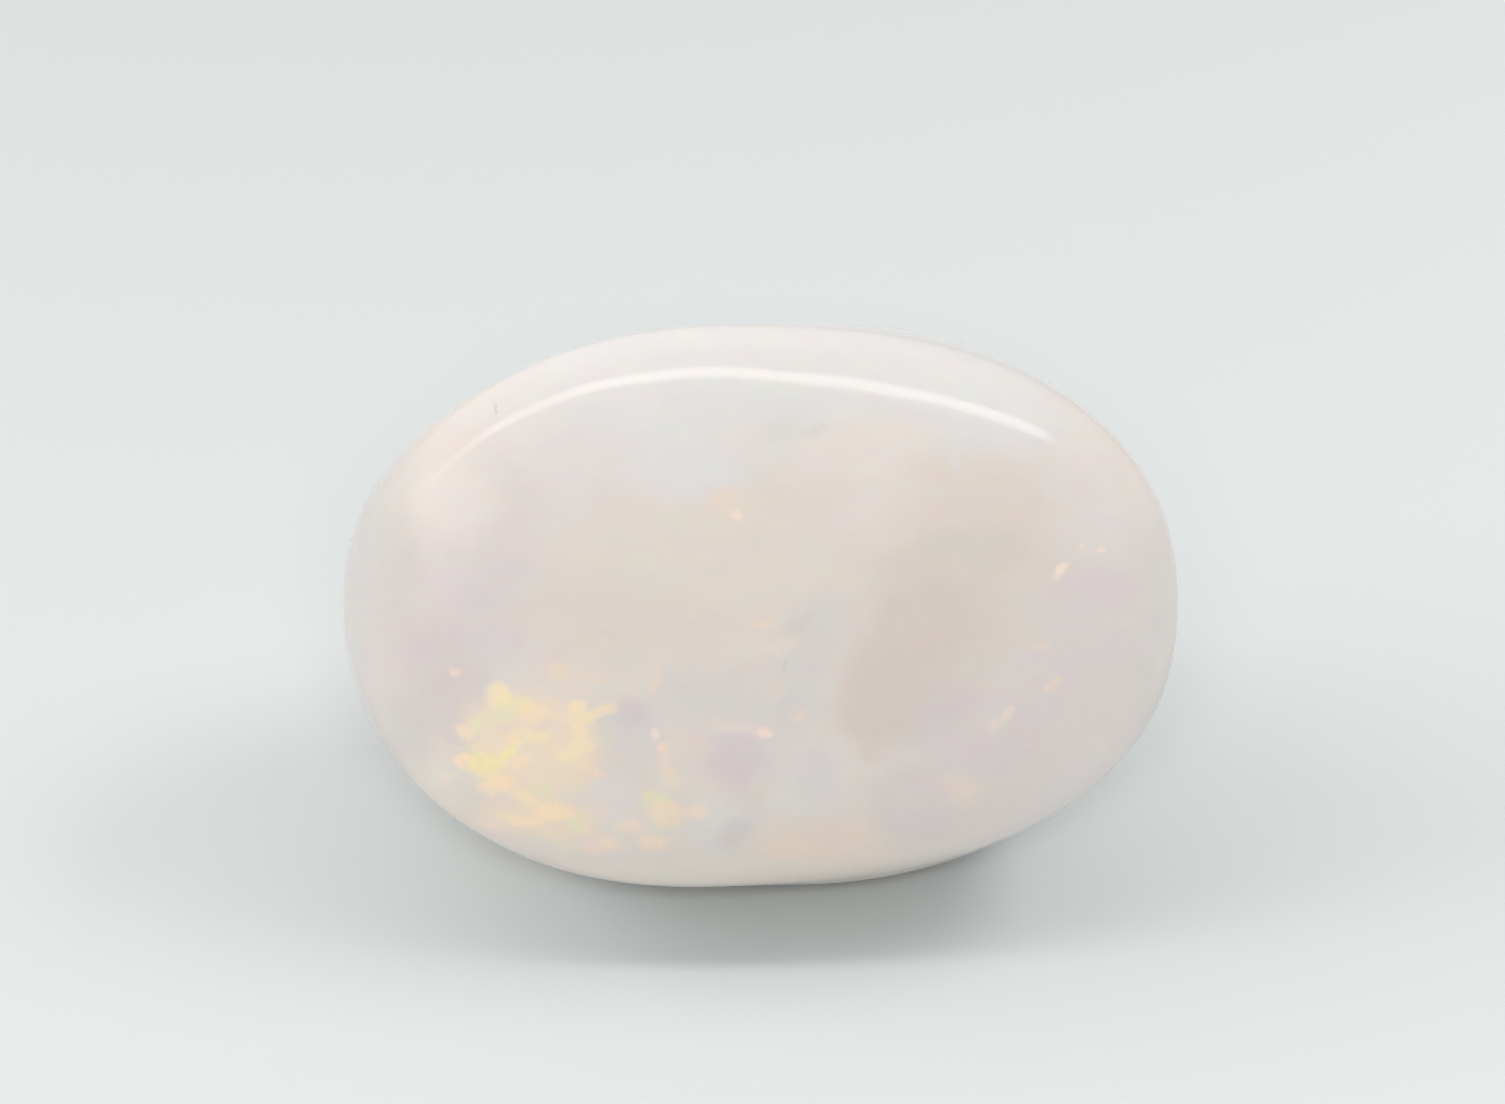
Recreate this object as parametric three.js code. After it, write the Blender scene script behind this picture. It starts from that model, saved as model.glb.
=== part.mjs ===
// A polished white opal nugget, 18 mm long, leaning back on a small flat worn into its underside.
//
// Millimetres, +Z up. The origin is on the surface that the stone rests on, under the middle of the stone.
// The long side lies along X, and the gently domed face looks towards -Y and up.

import * as THREE from 'three';
import { mergeVertices } from 'three/addons/utils/BufferGeometryUtils.js';

// Size of the stone, measured square to its face. The walls lean out past the middle section in places,
// so the whole stone is 18 mm long and 12.3 mm wide.
const LENGTH = 17.8;
const WIDTH = 12.16;
const SHOULDER_RISE = 2.17; // from the middle section up to the rim of the face
const FACE_CROWN = 0.54; // how much higher the middle of the face is than its rim
const BACK_DEPTH = 6.5; // from the middle section to the deepest point of the back

// Squareness of each section: 2 is an ellipse, and a higher number is boxier
const OUTLINE_SQUARENESS = 2.3;
const SHOULDER_SQUARENESS = 3.3;
const BACK_SQUARENESS = 2.4;

// Swells around the stone: how many lobes one has, the share of the radius that they add, and the angle of one lobe.
// The outline's swells are the same at every height.
const OUTLINE_SWELLS = [
  { lobes: 1, share: 0.006, at: 0 },
  { lobes: 2, share: 0.0145, at: 48 },
];
// The walls lean: these swells make the face wider and the back narrower, and are whole at this height and over
const WALL_LEANS = [
  { lobes: 1, share: 0.014, at: -29 },
  { lobes: 3, share: 0.057, at: -6 },
];
const LEAN_HEIGHT = 2;

// Shallow hollows left by tumbling, on the sides and the back: [across, up, towards the face], width and depth
const HOLLOWS = [
  { centre: new THREE.Vector3(-5.2, 2.4, -4.0), width: 3.2, depth: 0.3 },
  { centre: new THREE.Vector3(4.4, 3.6, -3.6), width: 3.0, depth: 0.24 },
  { centre: new THREE.Vector3(0.6, 1.2, -6.5), width: 2.6, depth: 0.16 },
  { centre: new THREE.Vector3(6.4, -2.2, -3.4), width: 2.8, depth: 0.2 },
];

// How the stone rests: the angle at which its face looks up from level, and the flat it rests on
const FACE_LIFT = 36;
const WORN_DEPTH = 0.4;
const WORN_EDGE = 0.12; // half the height over which the flat rounds into the stone

// Number of facets: around the face, and from the middle of the face to the middle of the back
const FACETS_AROUND = 80;
const FACETS_FRONT_TO_BACK = 36;

const opal = new THREE.MeshStandardMaterial({ color: 0xded4d0, roughness: 0.12, metalness: 0 });

// The share that a list of swells adds at an angle: the sum of their cosines
function swell(angle, swells) {
  const shares = swells.map(({ lobes, share, at }) => {
    return share * Math.cos(lobes * (angle - THREE.MathUtils.degToRad(at)));
  });
  return shares.reduce((sum, share) => sum + share, 0);
}

// Distance from the centre to the outline: a superellipse, made fuller or leaner by its swells
function outlineRadius(angle) {
  const across = Math.abs(Math.cos(angle) / (LENGTH / 2)) ** OUTLINE_SQUARENESS;
  const up = Math.abs(Math.sin(angle) / (WIDTH / 2)) ** OUTLINE_SQUARENESS;
  return (1 + swell(angle, OUTLINE_SWELLS)) * (across + up) ** (-1 / OUTLINE_SQUARENESS);
}

// A point of the stone in its own frame, X across, Y up the face and Z out of the face.
// angle goes round the face, and slope from 0 at the middle of the face to pi at the middle of the back.
// The section at each angle is half a superellipse in front and another one behind.
function nuggetPoint(angle, slope) {
  const inFront = slope < Math.PI / 2;
  const power = 2 / (inFront ? SHOULDER_SQUARENESS : BACK_SQUARENESS);
  const reach = Math.max(0, Math.sin(slope)) ** power;
  const rise = Math.abs(Math.cos(slope)) ** power;
  const height = inFront ? SHOULDER_RISE * rise + FACE_CROWN * (1 - reach ** 2) : -BACK_DEPTH * rise;
  const lean = 1 + swell(angle, WALL_LEANS) * Math.tanh(height / LEAN_HEIGHT);
  const radius = outlineRadius(angle) * lean * reach;
  return new THREE.Vector3(radius * Math.cos(angle), radius * Math.sin(angle), height);
}

// Each hollow draws the surface in towards the middle of the stone, most at its own centre
function hollowOut(point) {
  const inward = point.clone().normalize().negate();
  const depths = HOLLOWS.map(({ centre, width, depth }) => {
    return depth * Math.exp(-point.distanceToSquared(centre) / width ** 2);
  });
  const depth = depths.reduce((sum, item) => sum + item, 0);
  return point.addScaledVector(inward, depth);
}

// Height above the flat: nothing is left below it, and a short parabola rounds its edge
function wornHeight(height) {
  if (height < -WORN_EDGE) {
    return 0;
  }
  if (height > WORN_EDGE) {
    return height;
  }
  return (height + WORN_EDGE) ** 2 / (4 * WORN_EDGE);
}

// Gives each vertex of a geometry a new place
function moveVertices(geometry, place) {
  const { position } = geometry.attributes;
  const point = new THREE.Vector3();
  for (let i = 0; i < position.count; i += 1) {
    point.fromBufferAttribute(position, i);
    const { x, y, z } = place(point);
    position.setXYZ(i, x, y, z);
  }
}

// The stone: a sphere whose poles are the middles of the face and the back, shaped, leaned back and worn flat below
function nuggetGeometry() {
  const sphere = new THREE.SphereGeometry(1, FACETS_AROUND, FACETS_FRONT_TO_BACK);
  sphere.rotateX(Math.PI / 2);
  sphere.deleteAttribute('normal');
  sphere.deleteAttribute('uv');
  const geometry = mergeVertices(sphere);
  moveVertices(geometry, ({ x, y, z }) => {
    const slope = Math.atan2(Math.hypot(x, y), z);
    return hollowOut(nuggetPoint(Math.atan2(y, x), slope));
  });

  geometry.rotateX(THREE.MathUtils.degToRad(90 - FACE_LIFT));
  geometry.computeBoundingBox();
  const flatLevel = geometry.boundingBox.min.z + WORN_DEPTH;
  moveVertices(geometry, ({ x, y, z }) => ({ x, y, z: wornHeight(z - flatLevel) }));

  geometry.computeBoundingBox();
  const middle = geometry.boundingBox.getCenter(new THREE.Vector3());
  geometry.translate(-middle.x, -middle.y, 0);
  geometry.computeVertexNormals();
  return geometry;
}

const stone = new THREE.Mesh(nuggetGeometry(), opal);
stone.name = 'opal_stone';

const group = new THREE.Group();
group.add(stone);

export default group;
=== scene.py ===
# %% [markdown]
# A polished opal nugget
#
# The object is one natural stone, about 18 mm long: milky white opal with soft zones of lilac, cream and
# tan, and ragged flecks of gold and peach that seem to float under the polish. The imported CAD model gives
# its size and the way it rests. Here it gets a finer skin, its colours, a plain floor, a soft light and a
# camera.

# %% Load the frame
import math

import bpy
import numpy as np
from mathutils import Euler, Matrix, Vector


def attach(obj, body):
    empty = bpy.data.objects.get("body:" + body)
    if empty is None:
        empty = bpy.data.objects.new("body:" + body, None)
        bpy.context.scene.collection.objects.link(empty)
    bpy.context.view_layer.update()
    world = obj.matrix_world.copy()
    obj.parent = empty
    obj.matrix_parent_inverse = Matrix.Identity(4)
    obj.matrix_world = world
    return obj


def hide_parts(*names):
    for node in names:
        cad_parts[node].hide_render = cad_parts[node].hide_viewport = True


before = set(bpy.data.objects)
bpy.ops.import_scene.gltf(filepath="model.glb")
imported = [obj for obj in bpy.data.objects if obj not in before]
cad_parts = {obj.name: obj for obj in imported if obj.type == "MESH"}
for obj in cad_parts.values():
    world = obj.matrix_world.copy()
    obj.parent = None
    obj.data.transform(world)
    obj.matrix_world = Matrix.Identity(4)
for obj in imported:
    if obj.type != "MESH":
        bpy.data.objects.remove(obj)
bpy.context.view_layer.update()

MM = 0.001

# %% [markdown]
# The outline of the stone
#
# Seen square to its face, a tumbled pebble is neither an ellipse nor a rectangle. A superellipse lies
# between the two, and one number, its squareness, says how far. Two slow cosine swells then make it a
# little fuller at one end and at two corners. This is the same formula, with the same numbers, as the solid
# has, so the fine skin fits it everywhere.

# %% Outline
LENGTH = 17.8
WIDTH = 12.16
OUTLINE_SQUARENESS = 2.3

# Each swell is (number of lobes, share of the radius, angle of one lobe in degrees)
OUTLINE_SWELLS = [(1, 0.006, 0), (2, 0.0145, 48)]


def swell(angle, swells):
    """The sum of the swells' cosines: share * cos(lobes * (angle - at))."""
    return sum(share * np.cos(lobes * (angle - math.radians(at))) for lobes, share, at in swells)


def outline_radius(angle):
    """Superellipse: (|cos / half length|^n + |sin / half width|^n)^(-1/n), times 1 plus the swells."""
    across = np.abs(np.cos(angle) / (LENGTH / 2)) ** OUTLINE_SQUARENESS
    up = np.abs(np.sin(angle) / (WIDTH / 2)) ** OUTLINE_SQUARENESS
    return (1 + swell(angle, OUTLINE_SWELLS)) * (across + up) ** (-1 / OUTLINE_SQUARENESS)


quarter_turns = np.radians([0, 90, 180, 270])
print("Outline radius at the quarter turns, mm:", outline_radius(quarter_turns).round(2))

# %% [markdown]
# The section from face to back
#
# A cut through the stone shows a nearly flat face, a tight shoulder and a deep round back. Two half
# superellipses meet at the widest section: a boxy, shallow one in front and a rounder, deeper one behind. A
# parabola crowns the face. The walls also lean a little, which is what makes the bright line along the
# shoulder run aslant.

# %% Section
SHOULDER_RISE = 2.17
FACE_CROWN = 0.54
BACK_DEPTH = 6.5
SHOULDER_SQUARENESS = 3.3
BACK_SQUARENESS = 2.4
WALL_LEANS = [(1, 0.014, -29), (3, 0.057, -6)]
LEAN_HEIGHT = 2


def section(slope):
    """(reach, height) at a slope from 0, mid face, to pi, mid back: reach = sin^(2/n) and
    height = depth * cos^(2/n), to which the crown adds crown * (1 - reach^2) in front."""
    in_front = slope < math.pi / 2
    power = np.where(in_front, 2 / SHOULDER_SQUARENESS, 2 / BACK_SQUARENESS)
    reach = np.clip(np.sin(slope), 0, 1) ** power
    rise = np.abs(np.cos(slope)) ** power
    front = SHOULDER_RISE * rise + FACE_CROWN * (1 - reach**2)
    return reach, np.where(in_front, front, -BACK_DEPTH * rise)


def nugget_points(angle, slope):
    """Points in the stone's own frame, X across, Y up the face and Z out of it: the outline's radius times
    the section's reach, times 1 plus the leans faded in by tanh(height / lean height)."""
    reach, height = section(slope)
    lean = 1 + swell(angle, WALL_LEANS) * np.tanh(height / LEAN_HEIGHT)
    radius = outline_radius(angle) * lean * reach
    across, up, out = np.broadcast_arrays(radius * np.cos(angle), radius * np.sin(angle), height)
    return np.stack([across, up, out], axis=-1)


# %% [markdown]
# Hollows and polish
#
# Tumbling leaves shallow hollows on the back and sides, and even a good polish keeps a faint unevenness
# that you only notice when a reflection bends over it. The hollows are Gaussian dents, and the unevenness
# is the mean of a few long sine waves running in different directions. Where all of them are at their
# crest, it is seven thousandths of a millimetre high.

# %% Hollows and unevenness
# Each hollow is (centre in the stone's frame, width, depth)
HOLLOWS = [
    ((-5.2, 2.4, -4.0), 3.2, 0.3),
    ((4.4, 3.6, -3.6), 3.0, 0.24),
    ((0.6, 1.2, -6.5), 2.6, 0.16),
    ((6.4, -2.2, -3.4), 2.8, 0.2),
]
WAVE_HEIGHT = 0.007
# Each wave is (direction and pace in radians per mm, start)
WAVES = [((1.1, 0.5, 0.3), 0.4), ((-0.6, 1.7, 0.9), 2.1), ((2.2, -1.3, 0.7), 4.0), ((1.9, 2.4, -1.6), 5.2)]


def hollow_out(points):
    """Moves points towards the middle by the sum of depth * exp(-distance^2 / width^2)."""
    inward = -points / np.linalg.norm(points, axis=-1, keepdims=True)
    for centre, width, depth in HOLLOWS:
        distance = np.linalg.norm(points - np.array(centre), axis=-1, keepdims=True)
        points = points + inward * depth * np.exp(-((distance / width) ** 2))
    return points


def unevenness(points):
    """Moves points outward by the mean of the waves, sin(pace . point + start), times the wave height."""
    outward = points / np.linalg.norm(points, axis=-1, keepdims=True)
    waves = sum(np.sin(points @ np.array(pace) + start) for pace, start in WAVES) / len(WAVES)
    return points + outward * WAVE_HEIGHT * waves[..., None]


# %% [markdown]
# A grid without crowding
#
# If the slope went up in equal steps, the rings would crowd at the shoulder and leave wide gaps elsewhere.
# So the section is first measured along its length, and the rings are spread evenly over that length by
# interpolation.

# %% Grid
AROUND = 384
RINGS = 240
FINE_STEPS = 20001


def even_slopes(count):
    """Slopes of count rings, poles included, spaced equally along the length of the mean section."""
    fine = np.linspace(0, math.pi, FINE_STEPS)
    reach, height = section(fine)
    mean_radius = (LENGTH + WIDTH) / 4
    steps = np.hypot(np.diff(mean_radius * reach), np.diff(height))
    length = np.concatenate([[0], np.cumsum(steps)])
    return np.interp(np.linspace(0, length[-1], count), length, fine)


angles = np.linspace(0, 2 * math.pi, AROUND, endpoint=False)
slopes = even_slopes(RINGS)
ring_points = nugget_points(angles[None, :], slopes[1:-1, None])
face_middle = nugget_points(np.zeros(1), slopes[:1])
back_middle = nugget_points(np.zeros(1), slopes[-1:])
own_points = np.concatenate([face_middle, ring_points.reshape(-1, 3), back_middle])
print("Grid points:", len(own_points))

# %% [markdown]
# Leaning back on a worn flat
#
# The stone isn't lying on its back: it leans, with its face looking up at you. So the shape is turned about
# X. Where it touches the table it is worn flat. Everything below the flat is pressed up to it, and a short
# parabola rounds the edge, so that the underside has no crease.

# %% Lean and flat
FACE_LIFT = 36
WORN_DEPTH = 0.4
WORN_EDGE = 0.12

lean_back = Euler((math.radians(90 - FACE_LIFT), 0, 0)).to_matrix()
turn = np.array(lean_back)


def worn_height(height):
    """0 well below the flat, the height itself well above it, (height + edge)^2 / (4 * edge) in between."""
    rounded = (np.clip(height, -WORN_EDGE, WORN_EDGE) + WORN_EDGE) ** 2 / (4 * WORN_EDGE)
    return np.where(height > WORN_EDGE, height, rounded)


smooth = hollow_out(own_points) @ turn.T
flat_level = smooth[:, 2].min() + WORN_DEPTH
middle = (smooth.max(axis=0) + smooth.min(axis=0)) / 2
stone_origin = np.array([-middle[0], -middle[1], -flat_level])

placed = unevenness(hollow_out(own_points)) @ turn.T + stone_origin
placed[:, 2] = worn_height(placed[:, 2])
print("Stone's box in mm:", placed.min(axis=0).round(2), placed.max(axis=0).round(2))

# %% [markdown]
# From arrays to a mesh
#
# A grid point knows its neighbours by counting: one step on around the ring, or one whole ring further. The
# last point of a ring joins the first, and a fan of triangles closes each pole, so the skin has no hole.

# %% Mesh
def grid_faces(around, rings):
    """Quads between neighbouring rings, and a fan of triangles at each pole. Point 0 is the first pole, and
    every other point's number is 1 + around * its ring + its step around."""
    step = np.arange(around)
    following = (step + 1) % around
    starts = 1 + around * np.arange(rings - 3)[:, None]
    quads = np.stack(
        [starts + step, starts + around + step, starts + around + following, starts + following], axis=-1
    ).reshape(-1, 4)
    last_ring = 1 + around * (rings - 3)
    last_point = last_ring + around
    first_fan = np.stack([np.zeros(around, int), 1 + step, 1 + following], axis=-1)
    last_fan = np.stack([np.full(around, last_point), last_ring + following, last_ring + step], axis=-1)
    return quads.tolist() + first_fan.tolist() + last_fan.tolist()


stone_mesh = bpy.data.meshes.new("opal_nugget")
stone_mesh.from_pydata((placed * MM).tolist(), [], grid_faces(AROUND, RINGS))
stone_mesh.polygons.foreach_set("use_smooth", np.ones(len(stone_mesh.polygons), bool))
stone_mesh.update()
stone = bpy.data.objects.new("opal_nugget", stone_mesh)
bpy.context.scene.collection.objects.link(stone)

stone_mesh.calc_loop_triangles()
print("Triangles:", len(stone_mesh.loop_triangles))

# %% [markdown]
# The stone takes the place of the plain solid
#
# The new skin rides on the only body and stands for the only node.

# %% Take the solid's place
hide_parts("opal_stone")
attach(stone, "root")

# %% [markdown]
# The camera
#
# A close-up of a small stone is taken with a long lens from a short way off. The camera looks along the
# stone's face axis, 36 degrees down. The picture's middle isn't the stone's: the aim is moved a little
# within the picture plane, so that the stone sits as low in the frame as it does in the photograph, and the
# lens needs no shift.

# %% Camera
PHOTO_WIDTH = 1505
PHOTO_HEIGHT = 1104
PHOTO_STONE_LENGTH = 830
PHOTO_STONE_MIDDLE = (758, 604.5)
STONE_LENGTH = 18.0
LENS = 180
SENSOR = 36
NEAREST = 0.01
FARTHEST = 10

mm_per_pixel = STONE_LENGTH / PHOTO_STONE_LENGTH
distance = LENS * mm_per_pixel * PHOTO_WIDTH / SENSOR
look_up = turn @ np.array([0, 1, 0])
look_back = turn @ np.array([0, 0, 1])
aim = stone_origin.copy()
aim[0] += (PHOTO_WIDTH / 2 - PHOTO_STONE_MIDDLE[0]) * mm_per_pixel
aim += look_up * (PHOTO_STONE_MIDDLE[1] - PHOTO_HEIGHT / 2) * mm_per_pixel

camera_data = bpy.data.cameras.new("camera")
camera_data.lens = LENS
camera_data.sensor_width = SENSOR
camera_data.clip_start = NEAREST
camera_data.clip_end = FARTHEST
camera = bpy.data.objects.new("camera", camera_data)
camera.location = Vector(aim + look_back * distance) * MM
camera.rotation_euler = lean_back.to_euler()
bpy.context.scene.collection.objects.link(camera)
bpy.context.scene.camera = camera
print("Camera distance in mm:", round(float(distance), 1))

# %% [markdown]
# Shader helpers
#
# A material is a graph of nodes, and building one by hand in Python is mostly adding a node, giving its
# inputs values or links, and going on. These helpers do just that, and two of them are short ways to write
# a sum. Colours are written as they look on a screen, 0 to 255, because that is easy to judge, and are
# turned into the linear values that shaders reckon with.

# %% Helpers
def linear(red, green, blue):
    """Screen values 0 to 255 as linear ones: ((v + 0.055) / 1.055)^2.4, and v / 12.92 for the very dark."""
    share = np.array([red, green, blue]) / 255
    return np.where(share <= 0.04045, share / 12.92, ((share + 0.055) / 1.055) ** 2.4)


def rgba(red, green, blue):
    """The same as a colour that a socket takes, opaque."""
    return (*linear(red, green, blue).tolist(), 1.0)


def add_node(tree, kind, inputs=None, **settings):
    """Adds a node, changes its settings, and gives each named or numbered input a value or a link."""
    node = tree.nodes.new(kind)
    for name, value in settings.items():
        setattr(node, name, value)
    for name, value in (inputs or {}).items():
        if isinstance(value, bpy.types.NodeSocket):
            tree.links.new(value, node.inputs[name])
        else:
            node.inputs[name].default_value = value
    return node


def reckon(tree, operation, *values):
    """A Math node that works on numbers or links, as its result."""
    node = add_node(tree, "ShaderNodeMath", dict(enumerate(values)), operation=operation)
    return node.outputs["Value"]


def reckon_vector(tree, operation, *values):
    """The same for vectors, with a Vector Math node."""
    node = add_node(tree, "ShaderNodeVectorMath", dict(enumerate(values)), operation=operation)
    return node.outputs["Vector"]


def new_material(name):
    """A material with an empty node tree, and that tree."""
    material = bpy.data.materials.new(name)
    material.use_nodes = True
    material.node_tree.nodes.clear()
    return material, material.node_tree


print("A pale grey of 228 is", linear(228, 228, 228).round(3)[0], "in linear light")

# %% [markdown]
# The floor
#
# The stone lies on a plain, pale, matt surface that reaches past the picture on every side, so there is no
# horizon.

# %% Floor
FLOOR_REACH = 3.0
FLOOR_COLOUR = (213, 217, 217)
FLOOR_ROUGHNESS = 0.9
FLOOR_SHINE = 0.2

floor_material, floor_tree = new_material("pale_floor")
floor_shader = add_node(
    floor_tree,
    "ShaderNodeBsdfPrincipled",
    {
        "Base Color": rgba(*FLOOR_COLOUR),
        "Roughness": FLOOR_ROUGHNESS,
        "Specular IOR Level": FLOOR_SHINE,
    },
)
add_node(floor_tree, "ShaderNodeOutputMaterial", {"Surface": floor_shader.outputs["BSDF"]})

corners = np.array([(-1, -1, 0), (1, -1, 0), (1, 1, 0), (-1, 1, 0)]) * FLOOR_REACH
floor_mesh = bpy.data.meshes.new("floor")
floor_mesh.from_pydata(corners.tolist(), [], [(0, 1, 2, 3)])
floor_mesh.materials.append(floor_material)
floor = bpy.data.objects.new("floor", floor_mesh)
bpy.context.scene.collection.objects.link(floor)
print("Floor width in m:", 2 * FLOOR_REACH)

# %% [markdown]
# The light
#
# A polished stone shows its lamps. The long bright line on the upper shoulder is the image of a narrow
# strip right overhead, and where the line stops is where the strip stops. The line fades towards its left
# end, so the strip has three lengths, each dimmer than the one before. A fill lamp gives back the light
# that they lack. The strip also gives the shadow its firm front edge. The shadow spreads to both sides and
# is deepest right of the middle, so there is more light from the left. A small lamp in front keeps the
# shadow from going black. The stone shows no image of the fill and of these three, so they are hidden from
# reflections. The strip is a little warm and the others are a little cool, which turns the shadow bluish. A
# lamp's brightness is its power divided by pi and by its area, so the power is worked out from the
# brightness that the line needs.

# %% Lamps
LAMP_HEIGHT = 0.10
WARM = (1.08, 1.0, 0.95)
COOL = (0.95, 1.0, 1.02)
# Each lamp is (name, middle in X and Y, size in X and Y, brightness, colour, seen in reflections)
LAMPS = [
    ("overhead_strip", (0.0105, 0), (0.101, 0.012), 4.2, WARM, True),
    ("strip_end", (-0.06, 0), (0.04, 0.012), 2.8, WARM, True),
    ("strip_tip", (-0.1125, 0), (0.065, 0.012), 1.5, WARM, True),
    ("strip_fill", (-0.0925, 0), (0.105, 0.012), 2.8, WARM, False),
    ("left_lamp", (-0.165, 0.015), (0.05, 0.15), 7.85, COOL, False),
    ("right_lamp", (0.088, 0.022), (0.05, 0.07), 5.9, COOL, False),
    ("front_lamp", (0, -0.12), (0.05, 0.035), 17.0, COOL, False),
]

for name, middle_xy, size_xy, brightness, colour, reflected in LAMPS:
    lamp_data = bpy.data.lights.new(name, "AREA")
    lamp_data.shape = "RECTANGLE"
    lamp_data.size, lamp_data.size_y = size_xy
    lamp_data.energy = math.pi * brightness * math.prod(size_xy)
    lamp_data.color = colour
    lamp = bpy.data.objects.new(name, lamp_data)
    lamp.location = (*middle_xy, LAMP_HEIGHT)
    lamp.visible_camera = False
    lamp.visible_glossy = reflected
    bpy.context.scene.collection.objects.link(lamp)
    print(name, "power in watts:", round(lamp_data.energy, 3))

# %% [markdown]
# The surroundings
#
# The rest of the light comes from pale walls all round, brightest level with the stone and dark straight
# above. The sine of a direction's height is its Z, so its cosine, the square root of 1 minus Z squared,
# gives that glow. It is tilted along X, so that the left is a little brighter than the right. Y times Z
# squared is added: it makes the wall behind brighter high up and the wall in front dimmer. Level with the
# stone that adds nothing, so the walls there are about as bright as the floor, and the stone's far rim,
# which mirrors them, doesn't stand out.

# %% Surroundings
WALL_BRIGHTNESS = 0.765
BRIGHTER_LEFT = 0.18
BRIGHTER_HIGH_BEHIND = 0.73
WALL_COLOUR = (1.01, 1.0, 0.99)

world = bpy.data.worlds.new("pale_walls")
world.use_nodes = True
world_tree = world.node_tree
world_tree.nodes.clear()
direction = add_node(world_tree, "ShaderNodeTexCoord")
parts = add_node(world_tree, "ShaderNodeSeparateXYZ", {"Vector": direction.outputs["Generated"]}).outputs
height_squared = reckon(world_tree, "MULTIPLY", parts["Z"], parts["Z"])
cosine = reckon(world_tree, "SQRT", reckon(world_tree, "SUBTRACT", 1.0, height_squared))
left_tilt = reckon(world_tree, "MULTIPLY_ADD", parts["X"], -BRIGHTER_LEFT, WALL_BRIGHTNESS)
level_glow = reckon(world_tree, "MULTIPLY", cosine, left_tilt)
high_behind = reckon(world_tree, "MULTIPLY", parts["Y"], height_squared)
strength = reckon(world_tree, "MULTIPLY_ADD", high_behind, BRIGHTER_HIGH_BEHIND, level_glow)
background = add_node(
    world_tree, "ShaderNodeBackground", {"Color": (*WALL_COLOUR, 1.0), "Strength": strength}
)
add_node(world_tree, "ShaderNodeOutputWorld", {"Surface": background.outputs["Background"]})
bpy.context.scene.world = world
bpy.context.scene.view_settings.view_transform = "Standard"
print("World nodes:", len(world_tree.nodes))

# %% [markdown]
# The palette
#
# Up close, a white opal isn't white. These are its body colours, a few steps of screen value apart, and the
# colours of its fire, which are stronger. A few of them also serve as painted shade and painted reflection
# along the rim. Keeping them in one place makes it easy to turn the whole stone warmer or cooler.

# %% Palette
PALETTE = {
    "milk": (220, 211, 204),
    # Pearl is also a painted cool reflection of the pale walls along the top
    "pearl": (220, 217, 215),
    "haze": (220, 213, 210),
    # Painted shade and painted dark reflection for the rim on the left
    "rim_shade": (205, 199, 195),
    "lilac": (216, 207, 205),
    "mauve": (210, 200, 197),
    "blush": (224, 215, 210),
    "cream": (221, 212, 203),
    "sand": (218, 208, 200),
    "tan": (212, 201, 194),
    "grey": (214, 208, 204),
    "smoke": (208, 201, 198),
    "clay": (228, 211, 198),
    "peach": (234, 215, 199),
    "shell": (237, 219, 208),
    "straw": (234, 216, 194),
    "amber": (243, 219, 190),
    "gold": (238, 220, 190),
    "lemon": (237, 224, 177),
    "green": (226, 220, 191),
    "violet": (211, 201, 201),
    "dun": (214, 205, 197),
    "nick": (185, 184, 182),
}
print("Palette colours:", len(PALETTE))

# %% [markdown]
# Noise from a lattice
#
# Nothing on a natural stone has a clean outline. Value noise gives the raggedness: random numbers on a
# lattice of points, blended smoothly in between. Here it moves each place a little before its colour is
# looked up, so that zones drawn as plain ellipses come out with wandering edges.

# %% Lattice noise
LATTICE = 48
SEED = 7
random = np.random.default_rng(SEED)
lattice = random.random((LATTICE, LATTICE, LATTICE, 3)) * 2 - 1


def lattice_noise(points, pace):
    """Three noises from -1 to 1: the lattice's numbers at points * pace, blended by 3t^2 - 2t^3 each way."""
    cell = np.floor(points * pace).astype(int)
    share = points * pace - cell
    share = share * share * (3 - 2 * share)
    total = 0
    for corner in np.ndindex(2, 2, 2):
        near = np.array(corner)
        weight = np.where(near, share, 1 - share).prod(axis=-1, keepdims=True)
        x, y, z = ((cell + near) % LATTICE).T
        total = total + weight * lattice[x, y, z]
    return total


print("Noise in the middle of the face:", lattice_noise(face_middle, 1.0).round(2))
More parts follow.
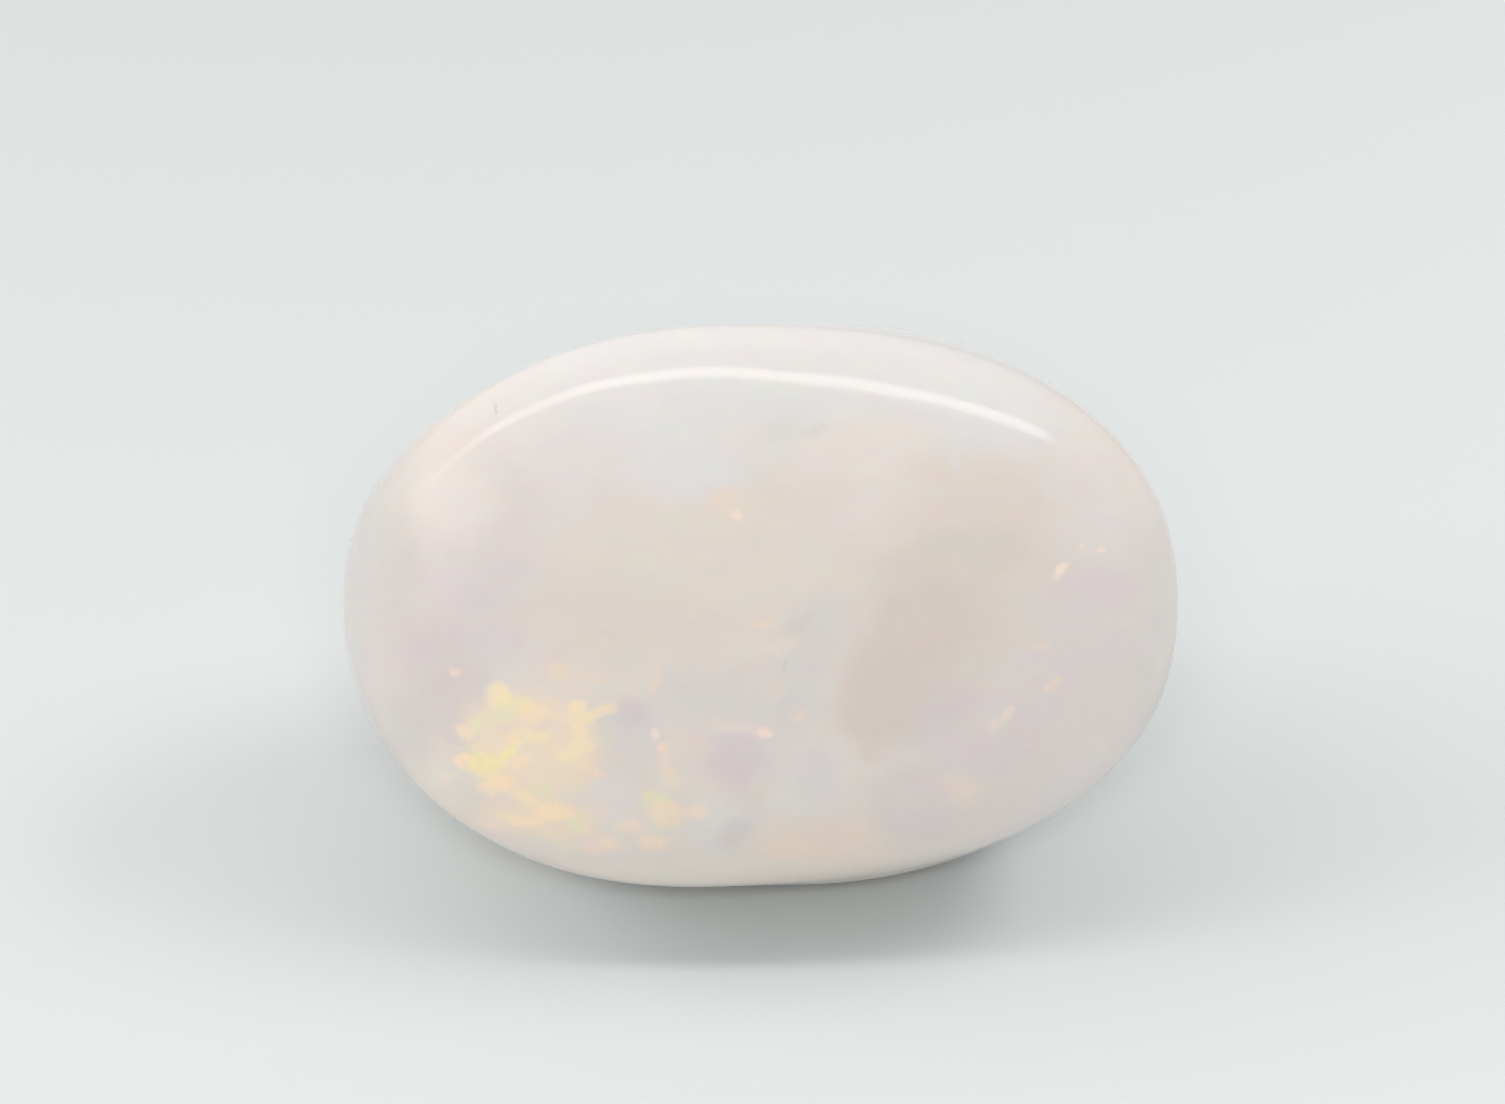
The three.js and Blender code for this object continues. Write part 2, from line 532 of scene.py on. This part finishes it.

# %% [markdown]
# The body colours, with painted shade and reflection along the rim
#
# Broad, soft zones give the milky body its drift of colour: lilac at both ends, cream in the middle and a
# tan patch right of it, whose left edge is firmer. Pearl along the top is partly the body's colour and
# partly a painted reflection of the pale walls. Along the rim some zones are painted light: the darker bands
# at the left end, just inside the left edge, low on the left and at the right end are painted shade and
# painted dark reflection, and a lighter cream band along the bottom edge is partly a painted reflection of
# the bright floor. They are laid over one another and kept as a colour on each vertex. Each line is a
# colour, the middle across and up the face in millimetres, the half width and half height, the turn in
# degrees, the softness of the edge, and the strength. The faint glow round the fire comes last.

# %% Body zones
# How far the edges wander, as (pace of the noise, millimetres)
BODY_WANDER = [(0.55, 0.28), (2.1, 0.17)]
BODY_ZONES_AND_PAINTED_LIGHT = [
    # Along the top, pearl is partly the body's colour and partly a painted reflection of the pale walls,
    # which cools the band there
    ("pearl", 0, 6.6, 9.5, 1.9, 0, 0.35, 1),
    ("pearl", -1.2, 4.2, 4.4, 1, 0, 0.5, 1),
    ("pearl", 4.6, 4.4, 2.6, 1.3, -20, 0.5, 1),
    ("haze", -4.2, 3, 1.7, 1.2, -30, 0.6, 1),
    # Painted shade on the rim of the left end
    ("rim_shade", -9.1, 0.4, 1.2, 4.4, 0, 0.5, 1),
    # Painted dark reflection just inside the left edge
    ("rim_shade", -7.8, 1.3, 0.55, 2.2, -6, 0.7, 0.75),
    ("lilac", -5.9, 0.5, 1.4, 2.3, -12, 0.6, 1),
    ("mauve", -7, -1.6, 1, 1.7, 20, 0.6, 1),
    ("blush", -6.6, 2.3, 1, 0.9, 0, 0.6, 1),
    ("violet", -5.6, -0.1, 0.8, 0.9, -20, 0.8, 0.5),
    ("grey", -3, 2.1, 0.9, 0.5, 0, 0.7, 0.5),
    ("violet", -7, -1.5, 0.5, 0.9, 15, 0.8, 0.3),
    # Painted shade on the rim low on the left
    ("rim_shade", -7.9, -2.8, 0.8, 1.1, 25, 0.6, 0.8),
    ("cream", -1.2, 1.4, 2.8, 1.3, -5, 0.5, 1),
    ("sand", -2.9, -0.2, 1.9, 1, -10, 0.6, 1),
    ("pearl", -1.6, 3, 1.4, 0.6, 0, 0.6, 1),
    ("blush", -0.3, 3.7, 0.6, 0.4, 0, 0.8, 0.7),
    ("blush", 2.2, 3.2, 1.4, 0.7, 10, 0.6, 1),
    ("blush", 2.7, 1.9, 0.8, 0.6, 20, 0.7, 0.8),
    ("lilac", 6.8, -0.4, 1.5, 2.2, 0, 0.6, 1),
    ("haze", 7.1, 2.3, 1.1, 1.3, 30, 0.6, 1),
    ("lilac", 4.9, -2.6, 2, 1.1, 32, 0.6, 1),
    ("sand", 4.2, 0.6, 2.6, 1.6, 45, 0.6, 1),
    ("sand", 4.7, 1.9, 1.4, 1.1, 20, 0.4, 1),
    ("dun", 4.1, 0.9, 1.6, 0.8, 22, 0.3, 1),
    ("dun", 4.1, -1.1, 1.9, 1, 42, 0.6, 0.9),
    ("violet", 3.7, -2.2, 0.9, 0.7, 40, 0.7, 0.8),
    ("tan", 3.4, -0.6, 1.35, 0.95, 42, 0.35, 0.9),
    ("tan", 2.7, -2, 0.95, 1.15, -15, 0.4, 0.9),
    ("grey", 1.2, -0.7, 0.75, 0.8, 0, 0.5, 1),
    ("grey", 0.7, -2, 1, 0.9, 20, 0.6, 1),
    ("haze", 1.1, -3.7, 0.9, 0.8, 20, 0.6, 1),
    ("grey", -1.1, -1.9, 1, 0.6, 10, 0.6, 1),
    ("grey", -3.1, -2.9, 0.9, 0.8, 0, 0.6, 1),
    ("haze", -3.2, -4.1, 0.6, 0.5, 0, 0.5, 1),
    ("lilac", -0.6, -3.1, 0.9, 0.6, 0, 0.6, 1),
    ("violet", -0.6, -3.25, 0.5, 0.5, 0, 0.7, 0.5),
    ("violet", -2.6, -2.3, 0.4, 0.35, 0, 0.7, 0.9),
    ("mauve", 3.2, -4.35, 0.6, 0.5, 0, 0.7, 1),
    ("grey", 1.2, -3.5, 0.5, 0.6, 0, 0.7, 0.6),
    ("violet", -0.5, -4.3, 0.4, 0.4, 0, 0.7, 0.5),
    ("lilac", 3.4, -4.4, 0.9, 0.7, 0, 0.6, 1),
    ("clay", 1.5, -5.1, 1.3, 0.55, 0, 0.7, 0.8),
    ("haze", -0.8, -4.8, 0.6, 0.7, 0, 0.6, 1),
    ("cream", -6.7, -3.9, 0.8, 0.7, -40, 0.6, 1),
    ("sand", -5.9, -4.3, 0.6, 0.3, -20, 0.5, 1),
    # A lighter band along the bottom edge, partly the body's cream and partly a painted reflection of the
    # bright floor
    ("cream", -1, -6.5, 6, 1, 0, 0.35, 1),
    # Painted shade on the rim of the right end, where the side turns away from the light
    ("grey", 9, -0.6, 0.9, 3.4, 0, 0.4, 1),
    ("haze", 6.6, -4.4, 2.2, 0.7, 38, 0.5, 1),
    ("straw", -4.7, -3, 1.5, 1.1, -15, 0.35, 0.8),
    ("straw", -4.6, -4.6, 1.3, 0.45, 0, 0.4, 0.8),
    ("straw", -4.3, -2.25, 0.4, 0.22, 0, 0.6, 0.8),
    ("peach", -3.9, -5.2, 0.3, 0.15, 0, 0.6, 0.5),
    ("sand", -4.4, -5.4, 0.8, 0.2, 5, 0.7, 0.6),
    ("clay", -3.8, -1.75, 0.25, 0.12, 0, 0.6, 0.7),
    ("straw", -1.9, -3.5, 0.2, 0.35, 10, 0.8, 0.5),
    ("clay", -1.4, -3, 0.35, 0.2, 0, 0.8, 0.5),
    ("shell", -0.4, -2.63, 0.55, 0.14, -5, 0.8, 0.45),
    ("clay", 0.4, -1.67, 0.28, 0.22, 0, 0.8, 0.4),
    ("shell", 0.5, -0.8, 0.3, 0.15, 20, 0.6, 0.3),
    ("clay", -0.85, 2.3, 0.5, 0.22, -10, 0.8, 0.6),
    ("clay", 6.07, -0.95, 0.17, 0.11, 0, 0.6, 0.8),
    ("shell", 5.08, -2.52, 0.18, 0.1, 20, 0.6, 0.5),
    ("peach", 4.35, -3.95, 0.3, 0.24, 0, 0.8, 0.5),
    ("straw", 0.8, -5.2, 0.5, 0.3, 0, 0.8, 0.5),
    ("peach", 2.2, -4.8, 0.4, 0.25, 0, 0.8, 0.4),
    ("smoke", -0.5, -4.95, 0.35, 0.35, 0, 0.7, 0.6),
    ("smoke", 0.75, -0.42, 0.3, 0.13, 20, 0.6, 0.5),
    ("grey", 0.45, 3.8, 0.5, 0.25, -5, 0.9, 0.5),
    ("smoke", 1.15, 3.6, 0.15, 0.09, 0, 0.8, 0.4),
]


def zone_mask(places, zone):
    """Strength within an ellipse and 0 outside it: its own distance, 1 on the ellipse, is blended by
    3t^2 - 2t^3 between 1 + softness and 1 - softness."""
    _, across, up, half_across, half_up, angle, softness, strength = zone
    cosine, sine = math.cos(math.radians(angle)), math.sin(math.radians(angle))
    x, y = places[:, 0] - across, places[:, 1] - up
    distance = np.hypot((x * cosine + y * sine) / half_across, (y * cosine - x * sine) / half_up)
    share = np.clip((1 + softness - distance) / (2 * softness), 0, 1)
    return strength * share * share * (3 - 2 * share)


body_places = own_points + sum(amount * lattice_noise(own_points, pace) for pace, amount in BODY_WANDER)
body = np.tile(linear(*PALETTE["milk"]), (len(own_points), 1))
for zone in BODY_ZONES_AND_PAINTED_LIGHT:
    mask = zone_mask(body_places, zone)[:, None]
    body = body * (1 - mask) + linear(*PALETTE[zone[0]]) * mask

body_attribute = stone_mesh.color_attributes.new("body_colour_and_painted_light", "FLOAT_COLOR", "POINT")
opaque = np.ones((len(body), 1))
body_attribute.data.foreach_set("color", np.hstack([body, opaque]).astype(np.float32).ravel())
print("Body zones:", len(BODY_ZONES_AND_PAINTED_LIGHT), "mean colour:", body.mean(axis=0).round(3))

# %% [markdown]
# Where on the face?
#
# The fire has crisper edges than the vertices can carry, so it is made of shader nodes. It gets a map of
# its own: X across, Y up and Z out of the face, in millimetres from the middle. The Mapping node undoes the
# lean of the stone, and noise nodes fray the map as the lattice noise did.

# %% Place on the face
# Each noise is (pace, amount in millimetres, detail)
SLOW_DRIFT = (0.7, 1.6, 2.0)
COARSE_FRAY = (2.4, 0.34, 2.0)
FINE_FRAY = (8.0, 0.12, 2.0)

stone_material, stone_tree = new_material("opal")


def warped(place, pace, amount, detail):
    """Moves a place by noise: place + (noise colour - 0.5) * amount, with pace noise cells to a mm."""
    noise = add_node(stone_tree, "ShaderNodeTexNoise", {"Vector": place, "Scale": pace, "Detail": detail})
    centred = reckon_vector(stone_tree, "SUBTRACT", noise.outputs["Color"], (0.5, 0.5, 0.5))
    return reckon_vector(stone_tree, "MULTIPLY_ADD", centred, (amount, amount, amount), place)


coordinates = add_node(stone_tree, "ShaderNodeTexCoord")
face_place = add_node(
    stone_tree,
    "ShaderNodeMapping",
    {
        "Vector": coordinates.outputs["Object"],
        "Location": tuple((-turn.T @ stone_origin).tolist()),
        "Rotation": (math.radians(FACE_LIFT - 90), 0, 0),
        "Scale": (1 / MM, 1 / MM, 1 / MM),
    },
).outputs["Vector"]

slow_place = warped(face_place, *SLOW_DRIFT)
frayed_place = warped(warped(face_place, *COARSE_FRAY), *FINE_FRAY)
fire_place = reckon_vector(stone_tree, "MULTIPLY", frayed_place, (1.0, 1.0, 0.0))
print("Nodes for places:", len(stone_tree.nodes))

# %% [markdown]
# One zone of fire
#
# A zone is again an ellipse with a soft edge. A Mapping node of the texture kind brings the place into the
# ellipse's own frame, where the edge is at a distance of 1 from the middle, and Map Range turns that
# distance into a mask. It is a node group, so it can be placed again and again with other numbers.

# %% Zone group
zone_group = bpy.data.node_groups.new("zone", "ShaderNodeTree")
for name, kind in (
    ("Place", "NodeSocketVector"),
    ("Middle", "NodeSocketVector"),
    ("Turn", "NodeSocketVector"),
    ("Half Size", "NodeSocketVector"),
    ("Inner Edge", "NodeSocketFloat"),
    ("Outer Edge", "NodeSocketFloat"),
    ("Strength", "NodeSocketFloat"),
):
    zone_group.interface.new_socket(name, in_out="INPUT", socket_type=kind)
zone_group.interface.new_socket("Mask", in_out="OUTPUT", socket_type="NodeSocketFloat")

zone_in = add_node(zone_group, "NodeGroupInput").outputs
own_frame = add_node(
    zone_group,
    "ShaderNodeMapping",
    {
        "Vector": zone_in["Place"],
        "Location": zone_in["Middle"],
        "Rotation": zone_in["Turn"],
        "Scale": zone_in["Half Size"],
    },
    vector_type="TEXTURE",
)
from_middle = add_node(
    zone_group, "ShaderNodeVectorMath", {0: own_frame.outputs["Vector"]}, operation="LENGTH"
)
soft_edge = add_node(
    zone_group,
    "ShaderNodeMapRange",
    {
        "Value": from_middle.outputs["Value"],
        "From Min": zone_in["Outer Edge"],
        "From Max": zone_in["Inner Edge"],
        "To Min": 0.0,
        "To Max": zone_in["Strength"],
    },
    interpolation_type="SMOOTHSTEP",
)
add_node(zone_group, "NodeGroupOutput", {"Mask": soft_edge.outputs["Result"]})
print("Nodes in a zone:", len(zone_group.nodes))

# %% [markdown]
# The fire
#
# Precious opal flashes where its tiny silica spheres are stacked evenly. Here most of the fire is one
# ragged cluster low on the left, lemon and gold inside and peach outside, with a smaller cluster beside it
# and a few lone sparkles. The lines have the same form as the body's.

# %% Fire zones
FIRE_ZONES = [
    ("gold", -5.53, -1.93, 0.27, 0.3, 0, 0.45, 0.9),
    ("lemon", -5.15, -2.12, 0.4, 0.22, -10, 0.45, 0.8),
    ("green", -5.42, -2.32, 0.3, 0.17, 0, 0.55, 0.9),
    ("amber", -4.82, -2.3, 0.28, 0.2, 0, 0.65, 0.6),
    ("clay", -4.45, -2.58, 0.4, 0.12, 0, 0.55, 0.8),
    ("green", -5.95, -2.55, 0.25, 0.2, 20, 0.55, 1),
    ("straw", -6.27, -2.73, 0.22, 0.13, -30, 0.55, 1),
    ("clay", -5.35, -2.62, 0.25, 0.12, 0, 0.55, 0.7),
    ("gold", -4.85, -2.8, 0.42, 0.13, -5, 0.55, 1),
    ("amber", -5.3, -2.98, 0.3, 0.13, 15, 0.55, 0.9),
    ("straw", -5.85, -3.05, 0.55, 0.12, 5, 0.55, 0.9),
    ("lemon", -5.85, -3.37, 0.45, 0.21, 0, 0.4, 1),
    ("amber", -6.33, -3.32, 0.2, 0.1, 0, 0.55, 1),
    ("lemon", -5.35, -3.15, 0.25, 0.12, 35, 0.5, 1),
    ("amber", -5.17, -3.35, 0.25, 0.13, 0, 0.65, 0.8),
    ("lemon", -5.8, -3.58, 0.28, 0.13, 0, 0.5, 1),
    ("amber", -5.6, -3.8, 0.33, 0.2, 10, 0.5, 1),
    ("gold", -4.95, -4.12, 0.35, 0.16, -25, 0.55, 1),
    ("green", -4.62, -3.9, 0.2, 0.18, 0, 0.65, 0.7),
    ("clay", -5.55, -4.25, 0.35, 0.16, -10, 0.55, 0.9),
    ("gold", -3.87, -2.2, 0.2, 0.17, 0, 0.45, 1),
    ("gold", -3.35, -2.25, 0.33, 0.12, 18, 0.5, 0.8),
    ("gold", -3.8, -2.42, 0.25, 0.14, 0, 0.55, 1),
    ("gold", -3.83, -2.72, 0.14, 0.25, 0, 0.55, 1),
    ("gold", -3.82, -2.98, 0.25, 0.17, 0, 0.45, 1),
    ("gold", -4.02, -3.2, 0.24, 0.16, 0, 0.5, 1),
    ("straw", -4.3, -3.02, 0.25, 0.14, 0, 0.65, 0.9),
    ("straw", -3.7, -3.4, 0.2, 0.13, -35, 0.55, 1),
    ("peach", -3.4, -3.56, 0.18, 0.1, -15, 0.55, 1),
    ("amber", -4.4, -4.46, 0.42, 0.17, 0, 0.45, 1),
    ("amber", -5, -4.62, 0.42, 0.12, -5, 0.5, 1),
    ("green", -3.85, -4.74, 0.24, 0.12, -25, 0.5, 1),
    ("peach", -5.65, -4.72, 0.28, 0.13, -10, 0.65, 0.9),
    ("straw", -4.45, -4.22, 0.25, 0.1, 0, 0.65, 0.8),
    ("peach", -6.72, -3.7, 0.09, 0.07, 0, 0.65, 0.8),
    ("peach", -3.3, -5.15, 0.36, 0.2, 0, 0.65, 1),
    ("green", -2.22, -4.15, 0.3, 0.19, 0, 0.55, 1),
    ("straw", -1.95, -4.48, 0.38, 0.28, 0, 0.5, 1),
    ("peach", -1.33, -4.4, 0.24, 0.17, 20, 0.5, 1),
    ("peach", -2.7, -4.75, 0.28, 0.13, 0, 0.65, 0.9),
    ("peach", -2.25, -5.08, 0.3, 0.2, 0, 0.65, 1),
    ("clay", -4.25, -1.45, 0.28, 0.22, 0, 0.65, 0.9),
    ("clay", -3.5, -1.52, 0.34, 0.16, 0, 0.65, 0.9),
    ("clay", -2.17, -1.6, 0.09, 0.3, -8, 0.65, 0.9),
    ("shell", -2.25, -2.74, 0.1, 0.1, 0, 0.55, 1),
    ("peach", -2.03, -3.07, 0.1, 0.12, 0, 0.65, 0.9),
    ("clay", -6.47, -1.43, 0.13, 0.1, 0, 0.55, 1),
    ("shell", 0.17, -2.75, 0.15, 0.11, 0, 0.5, 1),
    ("clay", 0.85, -2.33, 0.22, 0.1, 25, 0.65, 0.8),
    ("clay", 0.08, -0.36, 0.32, 0.14, 0, 0.65, 0.9),
    ("shell", -0.45, 1.98, 0.15, 0.11, 0, 0.65, 0.9),
    ("shell", 6.5, 0.82, 0.2, 0.1, 40, 0.55, 1),
    ("shell", 6.36, 0.66, 0.12, 0.09, 40, 0.65, 0.8),
    ("shell", 7.35, 1.22, 0.07, 0.06, 0, 0.55, 1),
    ("shell", 6.98, 1.24, 0.08, 0.05, 0, 0.65, 0.6),
    ("clay", 6.35, -1.62, 0.1, 0.07, 20, 0.5, 1),
    ("clay", 6.2, -1.8, 0.13, 0.11, 20, 0.55, 0.9),
    ("shell", 5.35, -2.3, 0.07, 0.2, -25, 0.55, 0.7),
    ("smoke", 0.58, -1.3, 0.07, 0.15, -35, 0.65, 0.8),
    ("nick", -5.67, 4.225, 0.04, 0.14, 5, 0.65, 0.55),
]


def mix(factor, below, above):
    """The colour of two, mixed by a factor: below at 0 and above at 1."""
    node = add_node(stone_tree, "ShaderNodeMix", {0: factor, 6: below, 7: above}, data_type="RGBA")
    return node.outputs[2]


body_colour_and_painted_light = add_node(stone_tree, "ShaderNodeVertexColor", layer_name="body_colour_and_painted_light").outputs["Color"]
fire_colour = body_colour_and_painted_light
for colour, across, up, half_across, half_up, angle, softness, strength in FIRE_ZONES:
    mask = add_node(
        stone_tree,
        "ShaderNodeGroup",
        {
            "Place": fire_place,
            "Middle": (across, up, 0.0),
            "Turn": (0.0, 0.0, math.radians(angle)),
            "Half Size": (half_across, half_up, 1.0),
            "Inner Edge": 1 - softness,
            "Outer Edge": 1 + softness,
            "Strength": strength,
        },
        node_tree=zone_group,
    )
    fire_colour = mix(mask.outputs["Mask"], fire_colour, rgba(*PALETTE[colour]))
print("Fire zones:", len(FIRE_ZONES))

# %% [markdown]
# Depth and mottling
#
# Two more things keep the colours from looking painted on. The fire glitters unevenly, so noise lets the
# body colour through here and there. And the whole stone is faintly mottled in brightness and tint. The
# face's fire must not show again on the back, so it fades out round the sides, and the back has sparse
# flecks of its own.

# %% Glitter and mottling
GLITTER_PACE = 4.5
GLITTER_EDGES = (0.32, 0.52)
DULLEST_FIRE = 0.62
FIRE_DEPTHS = (-2.6, -0.8)
FLECK_PACE = 1.3
FLECK_EDGES = (0.6, 0.7)
FLECK_STRENGTH = 0.8
FLECK_DEPTHS = (-1.5, -3.5)
MOTTLE_PACE = 1.5
MOTTLE_AMOUNT = 0.11
MOTTLE_LOWEST = 0.945
STREAK_TURN = 35
STREAK_STRETCH = (0.7, 1.3, 1.0)


def noise_map(place, pace, detail, roughness=0.5):
    """The outputs of a noise texture with pace cells to a millimetre."""
    inputs = {"Vector": place, "Scale": pace, "Detail": detail, "Roughness": roughness}
    return add_node(stone_tree, "ShaderNodeTexNoise", inputs).outputs


def ramp(value, edges, low, high):
    """A straight line from low at the first edge to high at the second, level beyond both."""
    inputs = {"Value": value, "From Min": edges[0], "From Max": edges[1], "To Min": low, "To Max": high}
    return add_node(stone_tree, "ShaderNodeMapRange", inputs).outputs["Result"]


depth = add_node(stone_tree, "ShaderNodeSeparateXYZ", {"Vector": face_place}).outputs["Z"]
glitter = ramp(noise_map(face_place, GLITTER_PACE, 3.0)["Fac"], GLITTER_EDGES, DULLEST_FIRE, 1.0)
fire_share = reckon(stone_tree, "MULTIPLY", glitter, ramp(depth, FIRE_DEPTHS, 0.0, 1.0))
front_colour = mix(fire_share, body_colour_and_painted_light, fire_colour)

flecks = ramp(noise_map(slow_place, FLECK_PACE, 4.0, 0.6)["Fac"], FLECK_EDGES, 0.0, FLECK_STRENGTH)
back_flecks = reckon(stone_tree, "MULTIPLY", flecks, ramp(depth, FLECK_DEPTHS, 0.0, 1.0))
stone_colour = mix(back_flecks, front_colour, rgba(*PALETTE["straw"]))

streaks = add_node(
    stone_tree,
    "ShaderNodeMapping",
    {"Vector": slow_place, "Rotation": (0.0, 0.0, math.radians(STREAK_TURN)), "Scale": STREAK_STRETCH},
).outputs["Vector"]
mottle = reckon_vector(
    stone_tree,
    "MULTIPLY_ADD",
    noise_map(streaks, MOTTLE_PACE, 5.0, 0.6)["Color"],
    (MOTTLE_AMOUNT,) * 3,
    (MOTTLE_LOWEST,) * 3,
)
mottled = reckon_vector(stone_tree, "MULTIPLY", stone_colour, mottle)
print("Nodes in the material:", len(stone_tree.nodes))

# %% [markdown]
# Translucent and polished
#
# Light goes a little way into milky opal and comes out elsewhere, red further than blue. The subsurface
# part does that, and it softens the shading as the real stone's is. The surface itself is polished, but not
# like glass: a little roughness gives the highlight its soft edge.

# %% Stone shader
POLISH_ROUGHNESS = 0.11
OPAL_IOR = 1.45
MILKINESS = 0.6
REACH_OF_LIGHT = 1.2 * MM
REACH_OF_COLOURS = (1.0, 0.85, 0.75)

stone_shader = add_node(
    stone_tree,
    "ShaderNodeBsdfPrincipled",
    {
        "Base Color": mottled,
        "Roughness": POLISH_ROUGHNESS,
        "IOR": OPAL_IOR,
        "Subsurface Weight": MILKINESS,
        "Subsurface Radius": REACH_OF_COLOURS,
        "Subsurface Scale": REACH_OF_LIGHT,
    },
)
add_node(stone_tree, "ShaderNodeOutputMaterial", {"Surface": stone_shader.outputs["BSDF"]})
stone_mesh.materials.append(stone_material)
print("Stone material:", stone_material.name)
